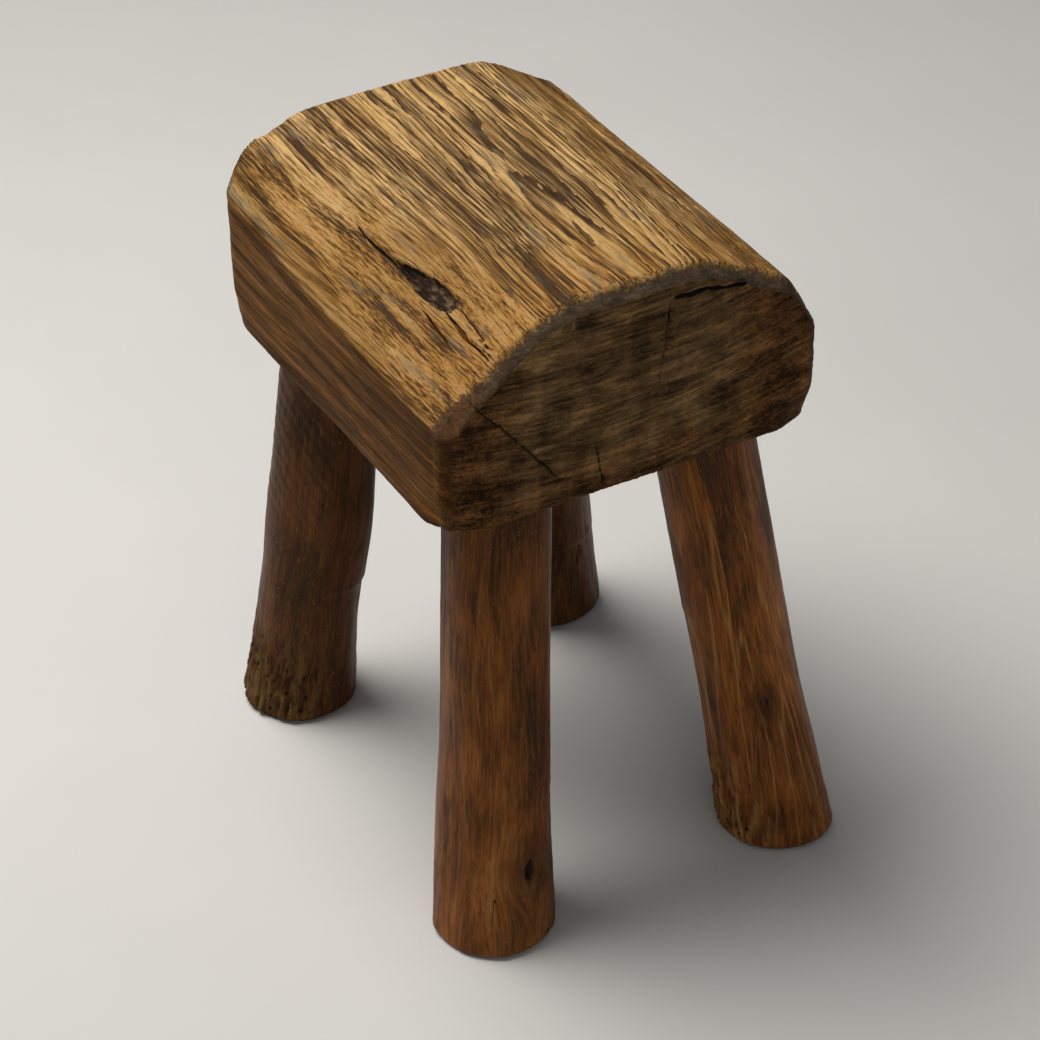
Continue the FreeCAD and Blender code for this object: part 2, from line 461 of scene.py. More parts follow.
def block_marks(place, facing, pitch, seed):
    """The patterns of the block that both its relief and its colour follow, by name.

    place is in mm on the unworn block, facing is its normal there.
    """
    x, y, z = (place.part(axis) for axis in "XYZ")
    upwards = facing.part("Z")
    endwise = abs(facing.part("X"))
    rightness = facing.part("X").step(-0.1, 0.1)
    ragged = place.noise((9, 9, 9), seed + 20.0, 3.0, 0.6) - 0.5

    # The fibres wander, and part round the knot.
    along = (x - KNOT[0]) * (1 / 52)
    beside = (y - KNOT[1]) * (1 / 17)
    near_knot = beside.math("EXPONENT", -(along * along + beside * beside))
    pushed = near_knot * beside / (abs(beside) + 0.2) * 5.0
    parted = place.joined(x, y - pushed, z)
    grain = parted.wander((150, 60, 60), (0.0, 9.0, 9.0), seed)

    # Across the grain each year's growth rises gently and breaks off sharply.
    off_middle = grain.part("Y") - BLOCK_MIDDLE.y - 8.0
    bowed = grain.part("Z") - (off_middle * off_middle + 300.0) ** 0.5
    swirl = grain.noise((150, 20, 20), seed + 1.0, 1.0)
    torn = grain.noise((44, 4.0, 4.0), seed + 2.0, 2.0, 0.5)
    years = bowed / pitch + swirl * 4.6 + torn * 1.3
    rise = years.math("FRACT", years)
    broken = grain.noise((32, 4.6, 4.6), seed + 6.0, 1.0)

    end_bow = (y + 15.0) * (y + 15.0) * (1 / 900)
    layered = grain.joined(grain.part("X"), grain.part("Y"), grain.part("Z") - end_bow)
    marks = Marks({
        "x": x, "y": y, "z": z, "upwards": upwards, "ragged": ragged, "grain": grain,
        "ridge": rise.step(0.0, 0.7),
        "fibres": grain.noise((60, 1.7, 1.7), seed + 3.0, 2.0, 0.6),
        "layers": layered.noise((85, 26, 1.5), seed + 7.0, 3.0, 0.65),
        "patches": place.noise((62, 15, 15), seed + 4.0, 2.0, 0.5),
        "broad": place.noise((90, 60, 60), seed + 5.0, 1.0),
        "flat_end": endwise.step(0.80, 0.96),
        "by_knot": near_knot,
        "rightness": rightness,
    })
    long_face = 1.0 - endwise.step(0.45, 0.8)
    weather = upwards.step(0.80, 0.99) * 0.85 + (marks.patches - 0.5) * 2.6 + 0.04
    marks.weather = weather.clipped()
    marks.grooves = rise.step(0.30, 0.04) * broken.step(0.42, 0.56) * long_face
    slit = rise.step(0.13, 0.03) * broken.step(0.56, 0.64) * marks.weather

    # The bevel of the end grain, whose edge is ragged.
    from_end = BLOCK_HALF.x - abs(x - BLOCK_MIDDLE.x)
    shreds = grain.noise((14, 1.6, 1.6), seed + 8.0, 2.0, 0.6) - 0.5
    front_right = (y - BLOCK_MIDDLE.y).step(-78.0, -104.0) * rightness
    front_left = (y - BLOCK_MIDDLE.y).step(-44.0, -84.0) * (1.0 - rightness)
    limit = 5.6 + ragged * 5.0 + shreds * 11.0 + front_right * 7.0 + front_left * 4.0
    marks.corner_facet = front_left * (from_end - 15.0 + ragged * 9.0).step(3.0, -7.0)
    bevelled = (from_end - limit).step(1.2, -1.2) * upwards.step(0.0, 0.25)
    marks.bevel = bevelled * (1.0 - marks.flat_end)

    # The lower corners are knocked round.
    from_side = BLOCK_HALF.y - abs(y - BLOCK_MIDDLE.y)
    from_below = z - BLOCK_LOW.z
    marks.knocked = (from_end.step(CORNER_REACH, 0.0) * from_side.step(CORNER_REACH, 0.0)
                     * from_below.step(CORNER_REACH, 0.0))

    # The rotten knot, whose hollow lies along the grain.
    long_way = (x - KNOT[0]) * (1 / 28)
    cross_way = (y - KNOT[1] + (x - KNOT[0]) * -0.10) / (3.4 + 2.0 * long_way.step(-0.9, 0.6))
    crumbs = place.noise((6.0, 2.2, 2.2), seed + 21.0, 2.0, 0.6) - 0.5
    hollow = long_way * long_way + cross_way * cross_way + ragged * 1.2 + crumbs * 0.7
    marks.knot = hollow.step(1.10, 0.55) * upwards.step(0.2, 0.4)
    marks.long_way, marks.crumbs = long_way, crumbs

    down_wobble = place.wander((16, 9, 9), (0.0, 2.6, 0.0), seed + 9.0)
    end_wobble = place.wander((9, 9, 9), (0.0, 3.4, 3.4), seed + 10.0)
    top_cracks = strongest(TOP_CRACKS, SEEN_DOWN, down_wobble) * upwards.step(0.2, 0.4)
    right_checks = strongest(RIGHT_CHECKS, SEEN_ENDWISE, end_wobble) * rightness
    left_checks = strongest(LEFT_CHECKS, SEEN_ENDWISE, end_wobble) * (1.0 - rightness)
    end_checks = (right_checks + left_checks) * endwise.step(0.45, 0.7)
    marks.cracks = (top_cracks + end_checks + slit * 0.35 * long_face).at_most(1.0)
    return marks


def block_relief(marks, ridge_depth, hewing, knot_depth, check_depth):
    """How far, in mm, the worn surface stands out from the plain block."""
    long_grain = 1.0 - marks.flat_end
    worn = (0.18 + 0.82 * marks.weather) * long_grain * (1.0 - marks.bevel * 0.8)
    height = (marks.broad - 0.5) * hewing + (marks.patches - 0.5) * (hewing * 0.6)
    height = height + (marks.ridge - 0.75 - marks.grooves * 0.35) * ridge_depth * worn
    height = height + (marks.fibres - 0.5) * ridge_depth * worn
    height = height + (marks.layers - 0.5) * 1.1 * marks.flat_end
    height = height + marks.ragged * 0.8 - marks.corner_facet * 2.4
    height = height - marks.knocked * 5.5
    height = height - marks.cracks * check_depth
    return height - marks.knot * (0.8 + marks.ragged + marks.crumbs * 1.6) * knot_depth


def block_material(settings, colours):
    """Weathered coarse-grained wood with its long faces, its end grain and its worn bevels."""
    material, shader, field = new_material("weathered_block_wood")
    place = field.stored("place")
    facing = field.stored("facing")
    marks = block_marks(place, facing, settings.ridge_pitch / MM, settings.seed)
    x, y = marks.x - BLOCK_MIDDLE.x, marks.y - BLOCK_MIDDLE.y
    upwards, weather, grain = marks.upwards, marks.weather, marks.grain
    seed = settings.seed

    # Fine grain: hairlines, short dark pores, and the year rings of the relief, whose colour is
    # partly painted shade of the relief's worn steps.
    fine = grain.noise((34, 0.80, 0.80), seed + 11.0, 2.0, 0.65)
    hairs = grain.noise((45, 0.42, 0.42), seed + 12.0, 1.0)
    pores = grain.noise((7.0, 0.34, 0.34), seed + 13.0, 1.0).step(0.60, 0.70)
    bands = grain.noise((120, 7, 7), seed + 14.0, 1.0)
    tone = 0.48 + (marks.fibres - 0.5) * 1.5 + (fine - 0.5) * 1.6 + (hairs - 0.5) * 1.5
    tone = tone + (bands - 0.5) * 1.9 + (marks.patches - 0.5) * 0.7
    # Partly the rings' own colour, partly painted shade: dark at the foot of each worn step and
    # lighter on its top, more where weathered.
    ringed_with_step_shade = tone + (marks.ridge - 0.62) * (0.12 + weather * 0.52)

    dry = ringed_with_step_shade.ramp(
        (0.08, colours.groove, 0.9), (0.36, colours.weathered, 0.42),
        (0.62, colours.weathered, 1.0), (0.95, colours.ridge, 1.0))
    golden = ringed_with_step_shade.ramp(
        (0.08, colours.groove, 1.0), (0.34, colours.honey, 0.48),
        (0.60, colours.honey, 1.0), (0.98, colours.ridge, 0.85))
    rubbed = ringed_with_step_shade.ramp(
        (0.08, colours.groove, 1.0), (0.36, colours.amber, 0.50),
        (0.66, colours.amber, 1.0), (1.00, colours.ridge, 0.75))
    amber_here = x.step(25.0, 112.0) * 0.7 + marks.by_knot * 0.5 + (marks.broad - 0.5) * 2.6
    base = amber_here.clipped().blend(golden, rubbed)
    base = (weather * x.step(120.0, 30.0)).blend(base, dry)

    # Water has stained the long faces blue-grey in places, and the grooves are darkened, more where
    # weathered.
    stains = place.noise((45, 8, 8), seed + 15.0, 3.0, 0.6).step(0.56, 0.70)
    base = (stains * 0.50 * upwards.step(0.1, 0.5)).blend(base, colours.stain)
    # Darker in the worn grooves, more so where weathered.
    dark_grooves = marks.grooves * (0.16 + weather * 0.56)
    base = dark_grooves.blend(base, colours.groove)
    base = (pores * 0.38).blend(base, colours.groove)

    # The upright faces are darker: painted shade, as they face sideways, away from the light
    # overhead. Their upper edge on the front face is painted pale, partly as a highlight and partly
    # as wear.
    side_tone = tone + (marks.ridge - 0.6) * 0.16
    side = side_tone.ramp(
        (0.10, colours.side, 0.38), (0.46, colours.side, 0.92),
        (0.78, colours.side, 1.35), (1.00, colours.side, 2.1))
    side = (pores * 0.35).blend(side, colours.groove)
    upright = (upwards + marks.ragged * 0.45 + (bands - 0.5) * 0.6).step(0.40, 0.06)
    base = upright.blend(base, side)
    # Painted highlight, partly wear: a pale strip where the crown turns down into the front face.
    rim = upwards.step(0.12, 0.34) * upwards.step(0.66, 0.46)
    rim = rim * bands.step(0.46, 0.66) * facing.part("Y").step(0.0, -0.3) * 0.22
    base = rim.blend(base, shaded(colours.ridge, 0.7))

    # End grain: layered, blotched, and redder towards its sides and its lower edge.
    layers = marks.layers
    blotches = place.noise((8, 26, 11), seed + 16.0, 3.0, 0.6)
    specks = place.noise((3.0, 2.2, 1.5), seed + 17.0, 3.0, 0.65)
    smears = place.noise((8, 9, 70), seed + 18.0, 1.0)
    end_tone = 0.46 + (layers - 0.5) * 1.7 + (blotches - 0.5) * 2.0
    end_tone = end_tone + (specks - 0.5) * 0.9 + (smears - 0.5) * 0.6
    outer = abs(y + 6.0).step(46.0, 84.0)
    low = marks.z.step(BLOCK_LOW.z + 40.0, BLOCK_LOW.z + 6.0)
    redder = (outer.at_least(low * 0.7) + (marks.patches - 0.5) * 1.6).clipped()
    red_tone = end_tone - 0.04 + (specks - 0.5) * 0.8 * redder
    olive_end = end_tone.ramp(
        (0.08, colours.end_olive, 0.22), (0.42, colours.end_olive, 0.80),
        (0.68, colours.end_olive, 1.35), (1.00, colours.end_olive, 2.5))
    red_end = red_tone.ramp(
        (0.12, colours.end_red, 0.20), (0.46, colours.end_red, 0.85),
        (0.72, colours.end_red, 1.45), (1.00, colours.end_red, 2.6))
    base = marks.flat_end.blend(base, redder.blend(olive_end, red_end))
    chip = place.wander((4, 4, 4), (0.0, 3.0, 0.0), seed + 23.0).near_line(
        *PALE_CHIP, SEEN_ENDWISE) * marks.rightness
    base = (chip * specks.step(0.40, 0.55) * 0.6).blend(base, shaded(colours.ridge, 0.55))

    # The bevel is dark and dirty at the right end, and brown at the left one.
    scuffs = place.noise((1.6, 7.0, 1.6), seed + 19.0, 2.0, 0.6)
    scars = place.noise((30, 2.2, 30), seed + 22.0, 1.0).step(0.66, 0.74)
    scuffed = ((scuffs - 0.5) * 1.2 + marks.ragged * 0.9) * marks.rightness
    combed = (marks.fibres - 0.5) * 1.3 * (1.0 - marks.rightness)
    bevel_tone = 0.46 + scuffed + combed + scars * 0.35
    bevel = bevel_tone.ramp(
        (0.12, colours.bevel, 0.40), (0.50, colours.bevel, 1.0),
        (0.74, colours.bevel, 1.7), (1.00, colours.ridge, 0.50))
    browner = (1.0 - marks.rightness).at_least(y.step(-74.0, -96.0))
    bevel = (browner * 0.8).blend(bevel, bevel.times((1.25, 0.80, 0.50)))
    base = (marks.bevel * (0.45 + 0.48 * marks.rightness)).blend(base, bevel)

    # Handling has darkened the upright corners.
    corner = (abs(facing.part("X")).step(0.12, 0.5) * abs(facing.part("Y")).step(0.12, 0.5)
              * upwards.step(0.75, 0.3))
    corner = corner * (0.55 + marks.ragged * 1.4).at_least(0.0)
    base = (corner * 0.8).at_most(1.0).blend(base, shaded(colours.end_red, 0.45))

    # The rotten knot: black at its far end, grey on the front side, crumbs elsewhere.
    rot_tone = 0.36 + marks.crumbs * 2.6 + marks.long_way * 0.30
    rot = rot_tone.ramp(
        (0.22, colours.crack, 1.0), (0.46, colours.groove, 0.8),
        (0.66, colours.bevel, 1.2), (1.00, colours.weathered, 0.6))
    base = marks.knot.step(0.10, 0.45).blend(base, rot)
    shade = marks.by_knot * ((marks.fibres - 0.5) * 1.6 + 0.22).at_least(0.0)
    base = (shade * 0.7).at_most(1.0).blend(base, colours.groove)
    base = marks.cracks.step(0.1, 0.7).blend(base, colours.crack)
    attach(shader, Base_Color=base)
    shader.inputs["Specular IOR Level"].default_value = 0.05
    shader.inputs["Specular Tint"].default_value = (1.0, 0.72, 0.45, 1.0)

    roughness = 0.58 + marks.grooves * 0.2 + weather * 0.12 - tone * 0.08
    attach(shader, Roughness=roughness.at_least(0.4).at_most(0.95))
    texture = fine * 0.6 + hairs * 0.5 - pores * 0.5
    texture = texture + (end_tone * 0.3 + specks * 0.5) * marks.flat_end
    attach(shader, Normal=texture.bump(0.5, 0.9))
    return material


# In mm: how deep under the block's surface the rays start that draw its shell, how far below
# the block the socket plugs reach, and how far inside its box a socket's faces are at least.
SHELL_REACH = 34.0
PLUG_REACH = 6.0
SOCKET_MARGINS = (13, 20, 20)


def block_shell(settings):
    """The unworn block as a fine closed grid, drawn over the CAD block without its sockets."""
    hull = cad_copy("seat_block")
    wrapped = bmesh.ops.convex_hull(hull, input=hull.verts, use_existing_faces=False)
    inner = [part for part in wrapped["geom_interior"] if isinstance(part, bmesh.types.BMVert)]
    outside = [face for face in wrapped["geom"] if isinstance(face, bmesh.types.BMFace)]
    old = [face for face in hull.faces if face not in set(outside)]
    bmesh.ops.delete(hull, geom=old, context="FACES_ONLY")
    bmesh.ops.delete(hull, geom=[vertex for vertex in inner if vertex.is_valid], context="VERTS")
    surface = BVHTree.FromBMesh(hull)
    hull.free()

    counts = (settings.cells_along, settings.cells_across, settings.cells_down)
    middle = BLOCK_MIDDLE * MM
    half = BLOCK_HALF * MM
    core = half - Vector((SHELL_REACH, SHELL_REACH, SHELL_REACH)) * MM
    shell = bmesh.new()
    made = {}

    def vertex(i, j, k):
        if (i, j, k) not in made:
            outer = Vector([(2 * index / count - 1) * reach
                            for index, count, reach in zip((i, j, k), counts, half)])
            start = Vector([max(-limit, min(limit, value)) for value, limit in zip(outer, core)])
            place = surface.ray_cast(middle + start, (outer - start).normalized())[0]
            made[i, j, k] = shell.verts.new(place)
        return made[i, j, k]

    for axis in range(3):
        first, second = (axis + 1) % 3, (axis + 2) % 3
        for level in (0, counts[axis]):
            for p in range(counts[first]):
                for q in range(counts[second]):
                    corners = []
                    for dp, dq in ((0, 0), (1, 0), (1, 1), (0, 1)):
                        index = [0, 0, 0]
                        index[axis] = level
                        index[first] = p + dp
                        index[second] = q + dq
                        corners.append(vertex(*index))
                    if level == 0:
                        corners.reverse()
                    shell.faces.new(corners)
    return object_from(shell, "weathered_block")


def socket_plugs():
    """What fills the CAD block's four sockets, as one closed object to cut with."""
    plugs = cad_copy("seat_block")
    inside = [
        face for face in plugs.faces
        if face.calc_center_median().z > UNDERSIDE + 3 * MM
        and is_in_block(face.calc_center_median())
    ]
    bmesh.ops.delete(plugs, geom=[face for face in plugs.faces if face not in set(inside)],
                     context="FACES")
    rims = [edge for edge in plugs.edges if edge.is_boundary]
    lowered = bmesh.ops.extrude_edge_only(plugs, edges=rims)["geom"]
    moved = [part for part in lowered if isinstance(part, bmesh.types.BMVert)]
    bmesh.ops.translate(plugs, verts=moved, vec=(0, 0, -PLUG_REACH * MM))
    bmesh.ops.contextual_create(plugs, geom=[edge for edge in plugs.edges if edge.is_boundary])
    bmesh.ops.holes_fill(plugs, edges=[edge for edge in plugs.edges if edge.is_boundary])
    bmesh.ops.recalc_face_normals(plugs, faces=plugs.faces)
    return object_from(plugs, "socket_plugs")


def is_in_block(place):
    """Whether a place lies well inside the outline of the block."""
    return all(abs(value - centre) < half - margin for value, centre, half, margin
               in zip(place / MM, BLOCK_MIDDLE, BLOCK_HALF, SOCKET_MARGINS))


def build_block(settings, colours):
    """The block seat: shell, weathering, sockets."""
    piece = block_shell(settings)
    weather = Grower("Weathered Block", {
        "Ridge Pitch": settings.ridge_pitch / MM,
        "Ridge Depth": settings.ridge_depth / MM,
        "Hewing": settings.hewing / MM,
        "Knot Depth": settings.knot_depth / MM,
        "Check Depth": settings.check_depth / MM,
        "Seed": settings.seed,
        "Material": block_material(settings, colours),
    })
    field = weather.field
    position = field.node("GeometryNodeInputPosition")
    normal = field.node("GeometryNodeInputNormal")
    place = position.times((1 / MM, 1 / MM, 1 / MM))
    weather.keep("place", place)
    weather.keep("facing", normal)
    marks = block_marks(place, normal, weather.given("Ridge Pitch"), weather.given("Seed"))
    relief = MM * block_relief(marks, weather.given("Ridge Depth"), weather.given("Hewing"),
                               weather.given("Knot Depth"), weather.given("Check Depth"))
    weather.then("GeometryNodeSetPosition", None, {"Offset": normal.times(relief.thrice())})
    weather.grow(piece)

    plugs = socket_plugs()
    cut = piece.modifiers.new("Sockets", "BOOLEAN")
    cut.operation = "DIFFERENCE"
    cut.solver = "MANIFOLD"
    cut.object = plugs
    apply_modifiers(piece)
    bpy.data.objects.remove(plugs)
    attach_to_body(piece, "root")
    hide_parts("seat_block")


# ---------------- the legs

def compass(degrees, reach, height):
    """A place or a direction on a straight leg, by its angle from +X towards +Y."""
    turn = math.radians(degrees)
    return (reach * math.cos(turn), reach * math.sin(turn), height)


# For each leg, shade: a factor on all its colours that is painted shade and painted light, below 1
# for the legs in the seat's shade and above 1 for the lit one; and how much it is streaked. In mm:
# the radius of its straight part and of its foot; where its knot is, how large and how deep; where
# its foot is gnarled and how much; the edge of the last long cut of the knife, with how far the
# wood above it stands proud; a low swelling; and where its figure ripples.
LEG_FEATURES = {
    "front_right": {
        "shade": 1.0, "streaks": 0.35, "radius": 28.2, "foot": 33.2,
        "knot": compass(9, 29, 49), "knot_size": 3.4, "knot_depth": 4.5,
        "gnarl": compass(30, 0.25, 0), "ledge": compass(52, 0.7, 84),
        "swelling": compass(235, 30, 62), "ripple": compass(60, 0.0, 0)},
    "front_left": {
        "shade": 0.48, "streaks": 0.25, "radius": 27.8, "foot": 32.6,
        "knot": compass(238, 27, 137), "knot_size": 3.6, "knot_depth": 1.5,
        "gnarl": compass(285, 1.0, 0), "ledge": compass(61, 1.5, 87),
        "swelling": compass(50, 28, 130), "ripple": compass(285, 1.0, 0)},
    "back_right": {
        "shade": 1.45, "streaks": 1.0, "radius": 26.6, "foot": 32.6,
        "knot": compass(-10, 28, 97), "knot_size": 1.8, "knot_depth": 1.0,
        "gnarl": compass(258, 0.75, 0), "ledge": compass(215, 0.9, 140),
        "swelling": compass(20, 30, 45), "ripple": compass(60, 0.0, 0)},
    "back_left": {
        "shade": 0.5, "streaks": 0.5, "radius": 27.4, "foot": 32.4,
        "knot": compass(150, 28, 120), "knot_size": 3.0, "knot_depth": 3.0,
        "gnarl": compass(180, 0.7, 0), "ledge": compass(10, 0.8, 60),
        "swelling": compass(320, 28, 80), "ripple": compass(120, 0.6, 0)},
}


# The features that shape a leg's surface, and what its node tree calls them.
PATTERN_LABELS = {
    "knot": "Knot", "knot_size": "Knot Size", "knot_depth": "Knot Depth", "gnarl": "Gnarl",
    "ledge": "Ledge", "swelling": "Swelling", "ripple": "Ripple",
}


def leg_marks(place, features, seed):
    """The patterns of a leg that both its relief and its colour follow, by name.

    place is in mm on the leg as if it stood upright on the origin.
    """
    z = place.part("Z")
    ragged = place.noise((6.5, 6.5, 8.0), seed + 20.0, 3.0, 0.6) - 0.5
    from_knot = place.minus(features["knot"])
    gap = from_knot.times((1.0, 1.0, 0.55)).size()
    size = features["knot_size"]
    by_knot = (gap / size).step(6.0, 0.8)
    pulled = by_knot * 0.6
    pulled = from_knot.times(place.joined(pulled, pulled, 0.0))
    grain = place.minus(pulled).wander((40, 40, 95), (11.0, 11.0, 0.0), seed)

    across = place.times((1 / 30, 1 / 30, 0.0))
    gnarled_side = across.along(features["gnarl"]).step(0.05, 0.75)
    ledge_side = across.along(features["ledge"])
    ledge_height = place.vector("DOT_PRODUCT", features["ledge"], (0.0, 0.0, 1.0))
    above = z - ledge_height + ragged * 5.0
    swelling = place.minus(features["swelling"]).times((1.0, 1.0, 0.45)).size()

    marks = Marks({
        "z": z, "ragged": ragged, "by_knot": by_knot, "grain": grain,
        "fibres": grain.noise((3.0, 3.0, 80), seed + 1.0, 2.0, 0.6),
        "fine": grain.noise((0.9, 0.9, 16), seed + 2.0, 2.0, 0.65),
        "patches": place.noise((22, 22, 58), seed + 3.0, 2.0),
        "flats": place.noise((19, 19, 210), seed + 4.0, 0.0),
        "dents": place.noise((9, 9, 22), seed + 5.0, 2.0),
        "hollow": (gap / size + ragged * 1.6).step(1.15, 0.6),
        "gnarl": gnarled_side * (z + ragged * 26.0).step(76.0, 20.0),
        "ledge": (ledge_side - 0.15).at_least(0.0) * above.step(0.0, 1.6) * above.step(75.0, 20.0),
        "swelling": swelling.step(38.0, 0.0),
    })
    waves = z * 0.62 + place.part("X") * 0.5 + place.part("Y") * 0.8 + ragged * 5.0
    rippled = across.along(features["ripple"]).step(0.1, 0.7)
    rippled = rippled * z.step(110.0, 160.0)
    marks.ripple = (waves.math("SINE", waves) * 0.5 + 0.5) * rippled
    slow = grain.noise((13.0, 13.0, 190), seed + 6.0, 1.0)
    marks.streaks = abs(slow - 0.5).step(0.028, 0.003)
    slit = grain.noise((9.0, 9.0, 130), seed + 7.0, 1.0)
    slit = abs(slit - 0.52).step(0.010, 0.003) * marks.patches.step(0.55, 0.64)
    marks.cracks = slit * (z + ragged * 40.0).step(110.0, 50.0)
    marks.gnawed = grain.noise((4.0, 4.0, 19), seed + 9.0, 3.0, 0.6)
    pits = place.noise((4.6, 4.6, 6.0), seed + 8.0, 1.0).step(0.66, 0.72)
    marks.pits = pits * marks.gnarl
    return marks


def leg_relief(marks, shaving, knot_depth):
    """How far, in mm, the surface of a leg stands out from its plain round."""
    height = (marks.flats - 0.5) * shaving * 2.6 + marks.swelling * 2.6
    height = height + (marks.dents - 0.5) * (0.7 + marks.z.step(60.0, 8.0) * 1.4)
    height = height + (marks.fibres - 0.5) * 0.6 + (marks.fine - 0.5) * 0.25
    height = height + marks.ripple * 0.25
    height = height + marks.by_knot * 0.8 - marks.hollow * knot_depth
    height = height - marks.gnarl * (marks.gnawed.step(0.55, 0.38) + marks.ragged) * 2.2
    height = height - marks.pits * 2.0 - marks.cracks * 1.2
    return height + marks.ledge


def leg_material(name, features, seed, colours):
    """Dark, handled, reddish wood with light streaks, for one leg; its colours also carry painted
    shade and painted light.
    """
    material, shader, field = new_material(name)
    place = field.stored("place")
    marks = leg_marks(place, features, seed)
    grain, fine, ragged = marks.grain, marks.fine, marks.ragged

    # Painted shade and painted light: shade scales all of this leg's colours, below 1 to darken and
    # above 1 to lighten.
    shade = features["shade"]
    pores = grain.noise((0.42, 0.42, 5.0), seed + 11.0, 1.0).step(0.61, 0.71)
    flecks = place.noise((1.1, 1.1, 3.0), seed + 12.0, 1.0).step(0.62, 0.74)
    # Painted shade: the legs darken towards the seat, in its shade, and their streaks fade there;
    # they are a little lighter towards the foot.
    painted_shade_under_seat = marks.z.step(150.0, 258.0)
    tone = 0.51 + (marks.fibres - 0.5) * 0.9 + (fine - 0.5) * 1.4
    tone = tone + (marks.patches - 0.5) * 1.5 + (marks.ripple - 0.4) * 0.10
    tone = tone - painted_shade_under_seat * 0.20 + marks.z.step(120.0, 20.0) * 0.06
    base = tone.ramp(
        (0.08, colours.leg_dark, 1.0), (0.48, colours.leg_main, 1.0),
        (0.74, colours.leg_main, 1.55), (1.00, colours.leg_light, 1.0), shade=shade)
    streaked = marks.streaks * marks.fibres.step(0.30, 0.55)
    base = (streaked * (0.70 * features["streaks"]) * (1.0 - painted_shade_under_seat * 0.5)).blend(
        base, shaded(colours.leg_light, shade))
    base = (flecks * 0.45).blend(base, shaded(colours.leg_light, 0.9))
    base = (pores * 0.50).blend(base, colours.leg_dark)
    grime = place.noise((15, 15, 30), seed + 13.0, 3.0, 0.6).step(0.53, 0.70)
    base = (grime * 0.42).blend(base, colours.leg_dark)
    base = (marks.by_knot * 0.55).blend(base, shaded(colours.leg_dark, 0.6))

    # The gnarled wood of a foot is dry and ochre, with black pits.
    gnarled = 0.62 + (marks.gnawed - 0.5) * 2.2 + ragged * 1.4 + (fine - 0.5) * 1.0
    gnarled = gnarled.ramp(
        (0.10, colours.crack, 1.2), (0.38, colours.leg_dark, 1.2),
        (0.66, colours.ochre, 0.75), (1.00, colours.ochre, 1.5), shade=shade)
    base = (marks.gnarl * (0.7 + ragged * 1.6)).clipped().blend(
        base, gnarled)
    hidden = marks.hollow.at_least(marks.cracks)
    hidden = hidden.at_least(marks.pits).step(0.15, 0.8)
    base = hidden.blend(base, colours.crack)
    attach(shader, Base_Color=base)
    shader.inputs["Specular IOR Level"].default_value = 0.20
    shader.inputs["Specular Tint"].default_value = (1.0, 0.68, 0.40, 1.0)

    roughness = 0.48 + pores * 0.15 + marks.gnarl * 0.3 + grime * 0.12 - tone * 0.05
    attach(shader, Roughness=roughness.at_least(0.35).at_most(0.95))
    texture = fine * 0.6 - pores * 0.4 + ragged * 0.5
    attach(shader, Normal=texture.bump(0.3, 0.7))
    return material


def leg_axis(place):
    """Where a leg's axis meets the floor, and its lean as a shift per unit of height."""
    mounts = {mount["name"]: mount for mount in frame["record"]["mounts"]}
    foot = Vector(mounts["foot_" + place]["pos_m"])
    wedge = cad_copy("fox_wedge_" + place)
    top = sum((vertex.co for vertex in wedge.verts), Vector()) / len(wedge.verts)
    wedge.free()
    return foot, (top - foot) / top.z - Vector((0, 0, 1))


